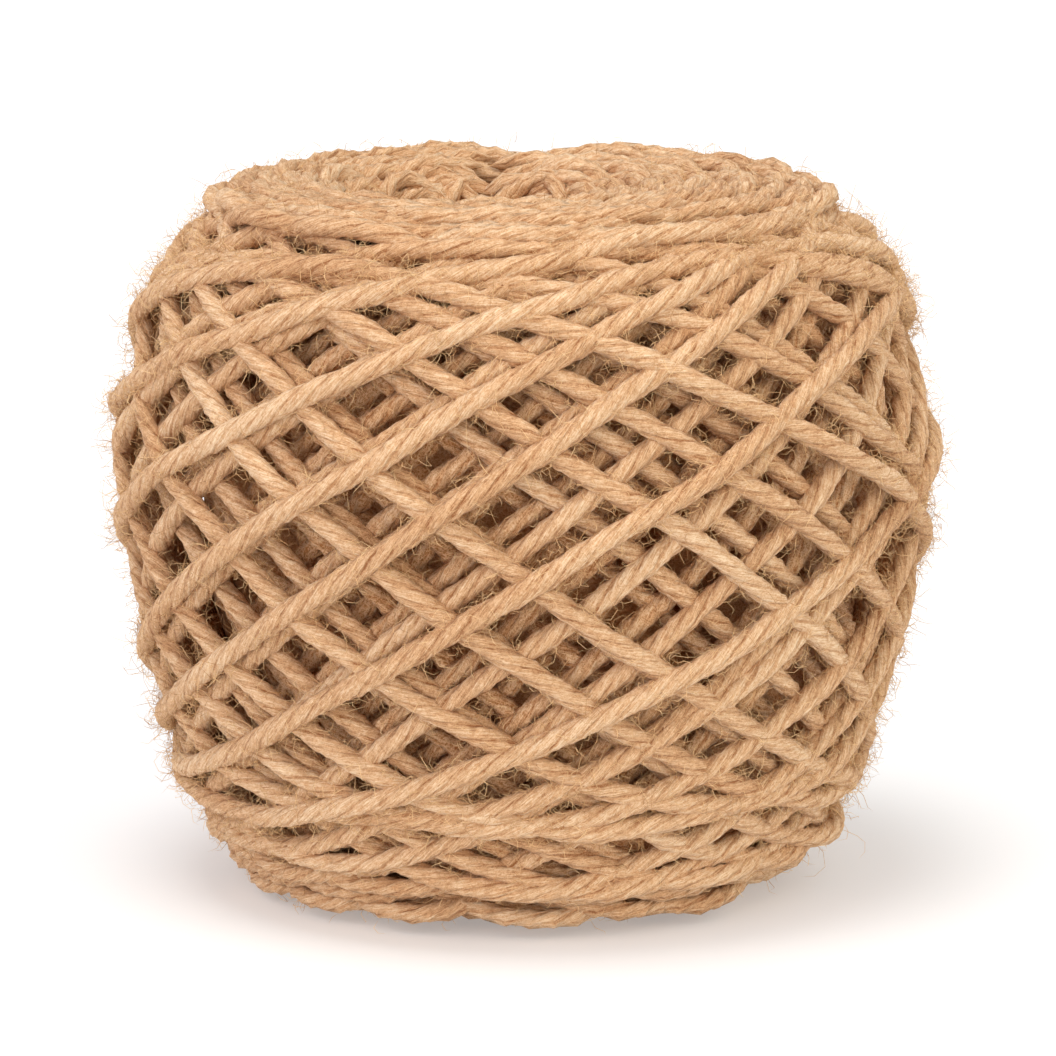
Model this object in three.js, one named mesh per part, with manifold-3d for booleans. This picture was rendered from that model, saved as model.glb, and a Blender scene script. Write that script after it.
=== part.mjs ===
// A centre-pull ball of thick plied merino yarn, wound crosswise on a spindle.
// Millimetres, +Z up, the photographed front facing -Y.  The origin lies in the
// resting plane, under the middle of the ball's outline.
//
// The ball is one length of yarn, so it is one solid: a wound barrel with an open
// middle and a small flat spot, and proud of it the last two sweeps of turns.  A turn
// is a tilted loop round the axis, and each turn is set a little further round than
// the one before it, so a sweep rises to the right over the front where the sweep
// beneath it falls.  Both loose ends are tucked in at the back.

import * as THREE from 'three';
import Module from 'manifold-3d';

// One strand, and how far its centre line lies inside the outline in each sweep.
const YARN_WIDTH = 2.55;
const OUTER_DEPTH = 1.275;
const UNDER_DEPTH = 3;

// The open middle lies left of the outline's centre.  The shift is full at HOLE_EDGE
// from the axis and has faded out at OUTLINE_EDGE.
const HOLE_SHIFT = -5.5;
const HOLE_EDGE = 12;
const OUTLINE_EDGE = 34;

// Outline of the ball over the outermost strands.
const OUTLINE = [
  { height: 0, radius: 24 },
  { height: 3, radius: 30.4 },
  { height: 6, radius: 33.8 },
  { height: 10, radius: 37 },
  { height: 14, radius: 38.8 },
  { height: 20, radius: 40.2 },
  { height: 26, radius: 41.8 },
  { height: 32, radius: 43.2 },
  { height: 38, radius: 43.9 },
  { height: 44, radius: 44.5 },
  { height: 48, radius: 44.8 },
  { height: 52, radius: 44.2 },
  { height: 57, radius: 42.9 },
  { height: 62, radius: 41.9 },
  { height: 66, radius: 40.4 },
  { height: 69, radius: 38.8 },
  { height: 72, radius: 35.5 },
  { height: 74, radius: 31 },
  { height: 76, radius: 22 },
];

// Profile of the wound barrel, from the flat spot outwards, up the side, over the top
// and down the open middle.  "rows" is how many rings of points follow up to the next
// line, and "ridge" how far every second one of them stands out: at both ends the
// turning strands lie side by side as ridges, which wander a little along the profile.
const BARREL = [
  { radius: 13.5, height: 0, rows: 2, ridge: 0 },
  { radius: 24, height: 0, rows: 6, ridge: 0.8 },
  { radius: 33, height: 5.8, rows: 4, ridge: 0.7 },
  { radius: 36.2, height: 12, rows: 1, ridge: 0 },
  { radius: 36.2, height: 17, rows: 3, ridge: 0 },
  { radius: 39.5, height: 34, rows: 2, ridge: 0 },
  { radius: 40.8, height: 47, rows: 2, ridge: 0 },
  { radius: 38, height: 62, rows: 1, ridge: 0 },
  { radius: 35.8, height: 68.5, rows: 2, ridge: 0.7 },
  { radius: 31, height: 73.4, rows: 4, ridge: 0.8 },
  { radius: 21, height: 75.3, rows: 4, ridge: 0.8 },
  { radius: 13, height: 73.6, rows: 1, ridge: 0 },
  { radius: 10.8, height: 69, rows: 1, ridge: 0 },
  { radius: 10, height: 55, rows: 2, ridge: 0 },
  { radius: 10, height: 16, rows: 1, ridge: 0 },
  { radius: 10.8, height: 5, rows: 1, ridge: 0 },
];
const BARREL_SEGMENTS = 32;
const RIDGE_WANDER = 0.6;
const RIDGE_LAG = 70;

// The two sweeps, turn by turn.  Seen from the front a turn's centre line is at
// centre + swing * sin(azimuth - crossing), with the azimuth in degrees to the right.
const OUTER_SWEEP = [
  { crossing: -123, swing: 23, centre: 48 },
  { crossing: -71, swing: 16.2, centre: 56.8 },
  { crossing: -54.4, swing: 21.8, centre: 49.9 },
  { crossing: -36.8, swing: 27.3, centre: 44.9 },
  { crossing: -17.1, swing: 28.8, centre: 44.1 },
  { crossing: -1.7, swing: 26.5, centre: 38.7 },
  { crossing: 24.7, swing: 19.5, centre: 30.3 },
  { crossing: 52, swing: 28, centre: 41 },
];
const OUTER_TURNS = 7.25;
const UNDER_SWEEP = [
  { crossing: 62, swing: 28, centre: 41 },
  { crossing: 84, swing: 28, centre: 41 },
  { crossing: 105.2, swing: 28.4, centre: 40.7 },
  { crossing: 130, swing: 29.5, centre: 43.5 },
  { crossing: 160, swing: 30, centre: 41 },
  { crossing: 178, swing: 30.5, centre: 41.5 },
  { crossing: 212, swing: 31, centre: 39.5 },
  { crossing: 225, swing: 28.5, centre: 43 },
  { crossing: 262, swing: 30, centre: 41 },
];
const UNDER_TURNS = 9;
const LOWEST_TURN = 9;
const HIGHEST_TURN = 73;

// Section of a strand, across it and outwards: round on top, and drawn down inside so
// that it is bedded in what lies beneath.
const OUTER_SECTION = [
  { across: -0.6, out: 1.25 },
  { across: -1.35, out: -0.1 },
  { across: 0, out: -3.4 },
  { across: 1.35, out: -0.1 },
  { across: 0.6, out: 1.25 },
];
const UNDER_SECTION = [
  { across: -0.7, out: 1.15 },
  { across: -1.45, out: -1.6 },
  { across: 1.45, out: -1.6 },
  { across: 0.7, out: 1.15 },
];
const STEPS_PER_TURN = 24;

// Joining of short edges: the longest that is joined, how far the surface may move,
// how little it may turn (as a cosine), the least area of a face and how many passes.
const LONGEST_JOINED = 3;
const MOST_DRIFT = 0.12;
const LEAST_AGREEMENT = 0.86;
const LEAST_AREA = 0.004;
const JOIN_PASSES = 8;

// A turn keeps its own line over the front, out to FRONT_LIMIT each way.  Behind, where
// one turn passes into the next, the turns are evenly spaced, each an advance further.
const BEHIND = { advance: 25, swing: 28, centre: 41 };
const FULL_TURN = 360;
const HALF_TURN = 180;
const FRONT_LIMIT = 95;
const TUCK_ANGLE = 60;
const TUCK_DEPTH = 5;

/** Smooth step from 0 to 1. */
function ease(x) {
  const t = THREE.MathUtils.clamp(x, 0, 1);
  return t * t * (3 - 2 * t);
}

/** Straight-line value of OUTLINE's radius at a height. */
function outlineAt(height) {
  const last = OUTLINE.length - 1;
  const z = THREE.MathUtils.clamp(height, OUTLINE[0].height, OUTLINE[last].height);
  let i = 0;
  while (i < last - 1 && OUTLINE[i + 1].height < z) i += 1;
  const low = OUTLINE[i];
  const high = OUTLINE[i + 1];
  const share = (z - low.height) / (high.height - low.height);
  return low.radius + share * (high.radius - low.radius);
}

/** Point and outward direction of the outline in its own plane: x is the radius. */
function outlineFrame(height) {
  const reach = 2;
  const below = outlineAt(height - reach);
  const above = outlineAt(height + reach);
  const radius = (below + 2 * outlineAt(height) + above) / 4;
  const out = new THREE.Vector2(2 * reach, below - above).normalize();
  return { radius, out };
}

/** Sideways shift of the open middle for a point at this distance from the axis. */
function middleShift(radius) {
  const share = (OUTLINE_EDGE - radius) / (OUTLINE_EDGE - HOLE_EDGE);
  return HOLE_SHIFT * ease(share);
}

/** Point at an azimuth from the front, a radius and a height. */
function place(azimuth, radius, height) {
  const a = THREE.MathUtils.degToRad(azimuth);
  const x = radius * Math.sin(a) + middleShift(radius);
  return new THREE.Vector3(x, -radius * Math.cos(a), height);
}

/** The line of a turn at an unrolled azimuth: how high it runs there. */
function turnHeight(sweep, unrolled) {
  const turn = Math.floor((unrolled + HALF_TURN) / FULL_TURN);
  const azimuth = unrolled - FULL_TURN * turn;
  const share = ease((Math.abs(azimuth) - FRONT_LIMIT) / (HALF_TURN - FRONT_LIMIT));
  const own = sweep[THREE.MathUtils.clamp(turn, 0, sweep.length - 1)];
  const passed = turn + Math.sign(azimuth) / 2;
  const behind = {
    crossing: sweep[0].crossing + BEHIND.advance * passed,
    swing: BEHIND.swing,
    centre: BEHIND.centre,
  };
  const mix = (key) => own[key] + share * (behind[key] - own[key]);
  const lean = THREE.MathUtils.degToRad(azimuth - mix('crossing'));
  const height = mix('centre') + mix('swing') * Math.sin(lean);
  return THREE.MathUtils.clamp(height, LOWEST_TURN, HIGHEST_TURN);
}

/** Position and outward direction of a sweep's strand at an unrolled azimuth. */
function strandFrame({ sweep, turns, depth }, unrolled) {
  const height = turnHeight(sweep, unrolled);
  const { radius, out } = outlineFrame(height);
  const first = -HALF_TURN;
  const final = FULL_TURN * turns - HALF_TURN;
  const toEnd = Math.min(unrolled - first, final - unrolled);
  const tuck = TUCK_DEPTH * (1 - ease(toEnd / TUCK_ANGLE));
  const inward = depth + tuck;
  const a = THREE.MathUtils.degToRad(unrolled);
  const outward = new THREE.Vector3(out.x * Math.sin(a), -out.x * Math.cos(a), out.y);
  const point = place(unrolled, radius - inward * out.x, height - inward * out.y);
  return { point, outward };
}

/** Indexed closed geometry from rings of points; closed round, and capped or looped. */
function ringsToGeometry(rings, looped) {
  const count = rings[0].length;
  const positions = rings.flat().flatMap((p) => [p.x, p.y, p.z]);
  const index = [];
  const spans = looped ? rings.length : rings.length - 1;
  for (let r = 0; r < spans; r += 1) {
    const here = r * count;
    const there = ((r + 1) % rings.length) * count;
    for (let i = 0; i < count; i += 1) {
      const j = (i + 1) % count;
      index.push(here + i, there + j, there + i);
      index.push(here + i, here + j, there + j);
    }
  }
  if (!looped) {
    const end = (rings.length - 1) * count;
    for (let i = 1; i < count - 1; i += 1) {
      index.push(0, i + 1, i);
      index.push(end, end + i, end + i + 1);
    }
  }
  const geometry = new THREE.BufferGeometry();
  geometry.setAttribute('position', new THREE.Float32BufferAttribute(positions, 3));
  geometry.setIndex(index);
  return geometry;
}

/** The wound barrel: a ring of profile points at each segment round the axis. */
function barrelGeometry() {
  const corners = BARREL.map((row) => new THREE.Vector2(row.radius, row.height));
  const profile = [];
  BARREL.forEach((row, i) => {
    const from = corners[i];
    const to = corners[(i + 1) % corners.length];
    const along = to.clone().sub(from);
    const normal = new THREE.Vector2(along.y, -along.x).normalize();
    for (let k = 0; k < row.rows; k += 1) {
      const proud = k % 2 === 1 ? row.ridge : 0;
      const base = from.clone().addScaledVector(along, k / row.rows);
      base.addScaledVector(normal, proud);
      profile.push({ base, along: along.clone().normalize(), row });
    }
  });
  const rings = [];
  for (let s = 0; s < BARREL_SEGMENTS; s += 1) {
    const azimuth = (FULL_TURN * s) / BARREL_SEGMENTS;
    rings.push(profile.map(({ base, along, row }, i) => {
      const sway = Math.sin(THREE.MathUtils.degToRad(azimuth + RIDGE_LAG * i));
      const wander = row.ridge > 0 && base.y > 0 ? RIDGE_WANDER * sway : 0;
      const p = base.clone().addScaledVector(along, wander);
      return place(azimuth, p.x, Math.max(p.y, 0));
    }));
  }
  return ringsToGeometry(rings, true);
}

/** One turn of a strand as a closed tube, or the part of a turn that is left. */
function turnGeometry(strand, turn) {
  const rings = [];
  const steps = Math.round(STEPS_PER_TURN * Math.min(1, strand.turns - turn));
  for (let k = 0; k <= steps; k += 1) {
    const unrolled = FULL_TURN * (turn + k / STEPS_PER_TURN) - HALF_TURN;
    const before = strandFrame(strand, unrolled - 1);
    const after = strandFrame(strand, unrolled + 1);
    const { point, outward } = strandFrame(strand, unrolled);
    const tangent = after.point.sub(before.point).normalize();
    const side = new THREE.Vector3().crossVectors(outward, tangent).normalize();
    const up = new THREE.Vector3().crossVectors(tangent, side);
    rings.push(strand.section.map(({ across, out }) => (
      point.clone().addScaledVector(side, across).addScaledVector(up, out)
    )));
  }
  return ringsToGeometry(rings, false);
}

const wasm = await Module();
wasm.setup();

/** Six times the volume inside an indexed geometry, below zero if it is inside out. */
function signedVolume(geometry) {
  const position = geometry.getAttribute('position');
  const index = geometry.getIndex().array;
  const [a, b, c] = [new THREE.Vector3(), new THREE.Vector3(), new THREE.Vector3()];
  let total = 0;
  for (let i = 0; i < index.length; i += 3) {
    a.fromBufferAttribute(position, index[i]);
    b.fromBufferAttribute(position, index[i + 1]);
    c.fromBufferAttribute(position, index[i + 2]);
    total += a.dot(b.cross(c));
  }
  return total;
}

/** Solid of an indexed closed geometry, its faces turned outwards. */
function solidOf(geometry) {
  const vertProperties = new Float32Array(geometry.getAttribute('position').array);
  const triVerts = new Uint32Array(geometry.getIndex().array);
  if (signedVolume(geometry) < 0) {
    for (let i = 0; i < triVerts.length; i += 3) {
      [triVerts[i + 1], triVerts[i + 2]] = [triVerts[i + 2], triVerts[i + 1]];
    }
  }
  return new wasm.Manifold(new wasm.Mesh({ numProp: 3, vertProperties, triVerts }));
}

/** Unit normal and area of a triangle of three points. */
function facing(p, q, r) {
  const normal = new THREE.Vector3().crossVectors(q.clone().sub(p), r.clone().sub(p));
  const area = normal.length() / 2;
  return { normal: normal.normalize(), area };
}

/** The triangles of the largest closed shell: small pockets under a strand are filled. */
function outerShell(triangles) {
  const byVertex = new Map();
  triangles.forEach((triangle, t) => triangle.forEach((v) => {
    if (!byVertex.has(v)) byVertex.set(v, []);
    byVertex.get(v).push(t);
  }));
  const seen = new Set();
  let largest = [];
  triangles.forEach((first, start) => {
    if (seen.has(start)) return;
    seen.add(start);
    const shell = [start];
    for (let k = 0; k < shell.length; k += 1) {
      for (const t of triangles[shell[k]].flatMap((v) => byVertex.get(v))) {
        if (!seen.has(t)) {
          seen.add(t);
          shell.push(t);
        }
      }
    }
    if (shell.length > largest.length) largest = shell;
  });
  return largest.map((t) => triangles[t]);
}

/**
 * Geometry of a closed mesh with its short edges drawn together to a point, where the
 * surface stays closed, turns little and moves less than MOST_DRIFT.
 */
function joinShortEdges(mesh) {
  const points = [];
  for (let i = 0; i < mesh.vertProperties.length; i += 3) {
    points.push(new THREE.Vector3().fromArray(mesh.vertProperties, i));
  }
  const triangles = [];
  for (let i = 0; i < mesh.triVerts.length; i += 3) {
    triangles.push([...mesh.triVerts.slice(i, i + 3)]);
  }
  const touching = points.map(() => new Set());
  triangles.forEach((triangle, t) => triangle.forEach((v) => touching[v].add(t)));
  const neighbours = (v) => new Set([...touching[v]].flatMap((t) => triangles[t]).filter((w) => w !== v));

  /** How far the surface moves if `gone` is drawn onto `kept`; Infinity if it may not. */
  const driftOf = (kept, gone) => {
    let drift = 0;
    for (const t of touching[gone]) {
      const triangle = triangles[t];
      if (triangle.includes(kept)) continue;
      const old = facing(...triangle.map((v) => points[v]));
      const moved = facing(...triangle.map((v) => points[v === gone ? kept : v]));
      if (moved.area < LEAST_AREA) return Infinity;
      if (old.area < LEAST_AREA) continue;
      if (old.normal.dot(moved.normal) < LEAST_AGREEMENT) return Infinity;
      const reach = Math.abs(points[kept].clone().sub(points[gone]).dot(old.normal));
      drift = Math.max(drift, reach);
    }
    return drift;
  };

  for (let pass = 0; pass < JOIN_PASSES; pass += 1) {
    const edges = [];
    triangles.forEach((triangle) => {
      if (!triangle) return;
      triangle.forEach((v, k) => {
        const w = triangle[(k + 1) % 3];
        const length = points[v].distanceTo(points[w]);
        if (v < w && length < LONGEST_JOINED) edges.push({ v, w, length });
      });
    });
    edges.sort((e, f) => e.length - f.length);
    let joined = 0;
    for (const { v, w } of edges) {
      if (!touching[v] || !touching[w]) continue;
      const around = neighbours(v);
      if (!around.has(w)) continue;
      const shared = [...neighbours(w)].filter((u) => around.has(u));
      if (shared.length !== 2) continue;
      const [ahead, back] = [driftOf(v, w), driftOf(w, v)];
      if (Math.min(ahead, back) > MOST_DRIFT) continue;
      const [kept, gone] = ahead <= back ? [v, w] : [w, v];
      for (const t of touching[gone]) {
        if (triangles[t].includes(kept)) {
          triangles[t].forEach((u) => u !== gone && touching[u].delete(t));
          triangles[t] = null;
        } else {
          triangles[t] = triangles[t].map((u) => (u === gone ? kept : u));
          touching[kept].add(t);
        }
      }
      touching[gone] = null;
      joined += 1;
    }
    if (joined === 0) break;
  }

  const used = new Map();
  const positions = [];
  const index = outerShell(triangles.filter(Boolean)).flat().map((v) => {
    if (!used.has(v)) {
      used.set(v, used.size);
      positions.push(...points[v].toArray());
    }
    return used.get(v);
  });
  const geometry = new THREE.BufferGeometry();
  geometry.setAttribute('position', new THREE.Float32BufferAttribute(positions, 3));
  geometry.setIndex(index);
  return geometry;
}

let ball = solidOf(barrelGeometry());
const strands = [
  { sweep: UNDER_SWEEP, turns: UNDER_TURNS, depth: UNDER_DEPTH, section: UNDER_SECTION },
  { sweep: OUTER_SWEEP, turns: OUTER_TURNS, depth: OUTER_DEPTH, section: OUTER_SECTION },
];
for (const strand of strands) {
  for (let turn = 0; turn < strand.turns; turn += 1) {
    ball = ball.add(solidOf(turnGeometry(strand, turn)));
  }
}

const geometry = joinShortEdges(ball.getMesh());
geometry.computeVertexNormals();

const wool = new THREE.MeshStandardMaterial({ color: 0xc59870, roughness: 0.95, metalness: 0 });
geometry.computeBoundingBox();
const middle = geometry.boundingBox.getCenter(new THREE.Vector3());
geometry.translate(-middle.x, -middle.y, -geometry.boundingBox.min.z);
const yarnBall = new THREE.Mesh(geometry, wool);
yarnBall.name = 'yarn_ball';

const group = new THREE.Group();
group.add(yarnBall);

export default group;
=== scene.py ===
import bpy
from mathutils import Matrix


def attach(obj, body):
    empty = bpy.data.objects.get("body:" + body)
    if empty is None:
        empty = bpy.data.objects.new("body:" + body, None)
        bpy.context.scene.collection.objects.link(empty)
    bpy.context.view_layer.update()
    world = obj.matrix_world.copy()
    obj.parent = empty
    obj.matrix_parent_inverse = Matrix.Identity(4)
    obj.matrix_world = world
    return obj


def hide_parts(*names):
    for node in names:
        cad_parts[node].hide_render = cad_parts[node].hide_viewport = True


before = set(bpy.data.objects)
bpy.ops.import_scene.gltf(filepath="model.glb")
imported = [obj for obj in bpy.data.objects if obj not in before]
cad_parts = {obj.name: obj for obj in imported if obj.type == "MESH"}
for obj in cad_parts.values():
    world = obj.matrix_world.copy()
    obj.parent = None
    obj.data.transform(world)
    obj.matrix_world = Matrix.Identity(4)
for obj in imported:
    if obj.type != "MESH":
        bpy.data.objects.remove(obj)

"""A cross-wound ball of thick merino yarn, built as real plied strands with their stray fibres.

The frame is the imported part's: +Z up, the photographed front facing -Y, the origin in the
resting plane.  Lengths in this file are in millimetres, and meshes are written in metres.

A turn of yarn is a tilted loop round the axis.  Each turn is set a little further round than
the one before it, and after half a round the next sweep of turns lies across the last one.
"""

import logging
import math
from dataclasses import dataclass, field
from enum import Enum
from typing import Sequence

import bpy
import numpy as np
from mathutils import Vector

LOG = logging.getLogger("yarn_ball")
Array = np.ndarray
MM = 0.001
SEED = 50
CAD_NODE = "yarn_ball"
CAD_BODY = "root"


# Small helpers


def linear(hex_colour: str) -> tuple[float, float, float, float]:
    """Turn an sRGB hex colour into the linear values a shader takes.

    Args:
        hex_colour: six hex digits after a hash.

    Returns:
        Linear red, green and blue, and an alpha of 1.
    """
    channels = [int(hex_colour[i : i + 2], 16) / 255 for i in (1, 3, 5)]
    straight = [c / 12.92 if c <= 0.04045 else ((c + 0.055) / 1.055) ** 2.4 for c in channels]
    return (*straight, 1.0)


def ease(x: Array) -> Array:
    """Smooth step from 0 to 1, flat at both ends."""
    t = np.clip(x, 0.0, 1.0)
    return t * t * (3.0 - 2.0 * t)


def unit(vectors: Array) -> Array:
    """Rows of an array brought to length 1."""
    return vectors / np.maximum(np.linalg.norm(vectors, axis=-1, keepdims=True), 1e-9)


def smooth_noise(along: Array, wave: float, rng: np.random.Generator) -> Array:
    """Smooth seeded noise along a line: the mean of four sines of unlike lengths.

    Args:
        along: distance along the line.
        wave: the shortest wave's length, in the same unit.
        rng: source of the phases.

    Returns:
        Values that mostly lie between -1 and 1.
    """
    lengths = wave * np.array([1.0, 1.7, 2.9, 5.3])
    phases = rng.uniform(0, 2 * math.pi, 4)
    waves = np.sin(2 * math.pi * along[:, None] / lengths + phases)
    return waves.mean(axis=1) * 1.5


# The wound form


@dataclass(frozen=True)
class Form:
    """Outline of the ball over its outermost strands, and its off-centre open middle."""

    heights: tuple[float, ...] = (0, 3, 6, 10, 14, 20, 26, 32, 38, 44, 48, 52, 57, 62, 66, 69, 72, 74, 76)
    radii: tuple[float, ...] = (
        24, 30.4, 33.8, 37, 38.8, 40.2, 41.8, 43.2, 43.9, 44.5,
        44.8, 44.2, 42.9, 41.9, 40.4, 38.8, 35.5, 31, 22,
    )
    widest: float = 44.8
    hole_shift: float = -5.5
    hole_edge: float = 12.0
    outline_edge: float = 34.0
    reach: float = 2.0
    lit_depth: float = 2.0
    dark_depth: float = 8.0

    def radius(self, height: Array) -> Array:
        """Radius of the outline at each height, its corners rounded by a short mean."""
        straight = [np.interp(height + d, self.heights, self.radii) for d in (-self.reach, 0, 0, self.reach)]
        return sum(straight) / 4

    def outward(self, height: Array) -> tuple[Array, Array]:
        """Outward direction of the outline, from its radii a little below and above.

        Args:
            height: heights of the points.

        Returns:
            The direction's radial and upward parts.
        """
        below = np.interp(height - self.reach, self.heights, self.radii)
        above = np.interp(height + self.reach, self.heights, self.radii)
        length = np.hypot(2 * self.reach, below - above)
        return 2 * self.reach / length, (below - above) / length

    def shift(self, radius: Array) -> Array:
        """Sideways shift of a point at a radius: full at the open middle, none at the outline."""
        return self.hole_shift * ease((self.outline_edge - radius) / (self.outline_edge - self.hole_edge))

    def buried(self, points: Array) -> Array:
        """How deep points lie inside the outline.

        Args:
            points: one point a row.

        Returns:
            0 near the surface, rising to 1 at the dark depth and beyond.
        """
        out = np.hypot(points[:, 0], points[:, 1])
        side = self.radius(points[:, 2]) - out
        end = np.minimum(points[:, 2], self.heights[-1] - points[:, 2])
        return ease((np.minimum(side, end) - self.lit_depth) / self.dark_depth)

    def place(self, azimuth: Array, radius: Array, height: Array) -> Array:
        """Points at azimuths from the front, in degrees to the right, radii and heights."""
        a = np.radians(azimuth)
        return np.stack([radius * np.sin(a) + self.shift(radius), -radius * np.cos(a), height], axis=-1)


@dataclass(frozen=True)
class Turn:
    """One turn of yarn: its height is centre + swing * sin(azimuth - crossing)."""

    crossing: float
    swing: float
    centre: float


class Sweep:
    """A run of turns that precess round the axis, all lying on one shell of the ball."""

    form: Form = Form()
    turns: float = 9.0
    sampling: float = 0.5
    shortest_part: int = 12

    def __init__(self, rng: np.random.Generator) -> None:
        """Keep the source of this sweep's irregularity."""
        self.rng = rng

    def line(self, unrolled: Array) -> Array:
        """Points of the centre line at unrolled azimuths."""
        raise NotImplementedError

    def shown(self, unrolled: Array) -> Array:
        """True where the strand is drawn."""
        return np.ones(len(unrolled), dtype=bool)

    def centre_lines(self, step: float) -> list[Array]:
        """Centre lines of the drawn parts, their points evenly spaced.

        Args:
            step: distance between points.

        Returns:
            One array of points for each unbroken part.
        """
        unrolled = np.arange(-180.0, 360.0 * self.turns - 180.0, self.sampling)
        points = self.line(unrolled)
        keep = self.shown(unrolled)
        edges = np.flatnonzero(np.diff(np.concatenate([[False], keep, [False]]).astype(int)))
        parts = []
        for first, last in zip(edges[::2], edges[1::2]):
            if last - first > self.shortest_part:
                parts.append(even_spacing(points[first:last], step))
        return parts


def even_spacing(points: Array, step: float) -> Array:
    """Resample a line so that its points are an even step apart.

    Args:
        points: the line, one point a row.
        step: the wanted distance between points.

    Returns:
        The new points, at least four.
    """
    gaps = np.linalg.norm(np.diff(points, axis=0), axis=1)
    along = np.concatenate([[0.0], np.cumsum(gaps)])
    count = max(4, int(round(along[-1] / step)) + 1)
    wanted = np.linspace(0.0, along[-1], count)
    return np.stack([np.interp(wanted, along, points[:, k]) for k in range(3)], axis=-1)


class TracedSweep(Sweep):
    """A sweep whose turns follow the lines seen over the front, and are even behind."""

    front_limit: float = 95.0
    behind: Turn = Turn(crossing=25.0, swing=28.0, centre=41.0)
    lowest: float = 9.0
    highest: float = 73.0
    tuck_angle: float = 60.0
    tuck_depth: float = 6.0
    degree_length: float = 0.75
    wander_in: float = 0.2
    wander_in_wave: float = 14.0
    wander_up: float = 0.25
    wander_up_wave: float = 18.0

    def __init__(self, rows: Sequence[Turn], turns: float, depth: float, rng: np.random.Generator) -> None:
        """Keep the table of turns and how far inside the outline they lie."""
        super().__init__(rng)
        self.rows = rows
        self.turns = turns
        self.depth = depth

    def heights(self, unrolled: Array) -> Array:
        """Height of the centre line: each turn's own line in front, passing into an even one behind.

        Args:
            unrolled: azimuths counted on from turn to turn.

        Returns:
            One height for each azimuth.
        """
        turn = np.floor((unrolled + 180.0) / 360.0)
        azimuth = unrolled - 360.0 * turn
        share = ease((np.abs(azimuth) - self.front_limit) / (180.0 - self.front_limit))
        row = np.clip(turn.astype(int), 0, len(self.rows) - 1)
        table = np.array([[t.crossing, t.swing, t.centre] for t in self.rows])[row]
        passed = turn + np.sign(azimuth) / 2
        crossing = table[:, 0] + share * (self.rows[0].crossing + self.behind.crossing * passed - table[:, 0])
        swing = table[:, 1] + share * (self.behind.swing - table[:, 1])
        centre = table[:, 2] + share * (self.behind.centre - table[:, 2])
        height = centre + swing * np.sin(np.radians(azimuth - crossing))
        return np.clip(height, self.lowest, self.highest)

    def line(self, unrolled: Array) -> Array:
        """Points of the centre line, bedded a depth inside the outline, both ends tucked in.

        Args:
            unrolled: azimuths counted on from turn to turn.

        Returns:
            One point for each azimuth.
        """
        height = self.heights(unrolled)
        out_r, out_z = self.form.outward(height)
        to_end = np.minimum(unrolled + 180.0, 360.0 * self.turns - 180.0 - unrolled)
        inward = self.depth + self.tuck_depth * (1.0 - ease(to_end / self.tuck_angle))
        along = unrolled * self.degree_length
        inward = inward + self.wander_in * smooth_noise(along, self.wander_in_wave, self.rng)
        height = height + self.wander_up * smooth_noise(along, self.wander_up_wave, self.rng)
        return self.form.place(unrolled, self.form.radius(height) - inward * out_r, height - inward * out_z)


@dataclass(frozen=True)
class EndLine:
    """Where the sweeps turn back at one end, from the outermost sweep (0) to the innermost (1)."""

    shares: tuple[float, ...]
    radii: tuple[float, ...]
    heights: tuple[float, ...]

    def at(self, share: float) -> tuple[float, float]:
        """Radius and height of the turning point for a sweep."""
        radius = np.interp(share, self.shares, self.radii)
        return float(radius), float(np.interp(share, self.shares, self.heights))


TOP_LINE = EndLine(
    shares=(0.0, 0.1, 0.25, 0.5, 0.75, 0.9, 1.0),
    radii=(34.2, 32.2, 28.6, 22.8, 17.0, 13.6, 11.8),
    heights=(72.6, 73.9, 75.0, 75.2, 74.8, 72.8, 69.4),
)
BOTTOM_LINE = EndLine(
    shares=(0.0, 0.1, 0.25, 0.5, 0.75, 0.9, 1.0),
    radii=(35.8, 33.2, 29.2, 22.8, 17.0, 13.6, 11.9),
    heights=(10.6, 6.0, 2.3, 1.2, 1.2, 2.4, 5.0),
)


@dataclass(frozen=True)
class SweepPlan:
    """Plan of an even sweep: its widest radius, turns, first crossing and precession."""

    share: float
    radius: float
    turns: float
    crossing: float
    advance: float
    least_swing: float = 0.0
    sharpness: float = 0.3


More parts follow.
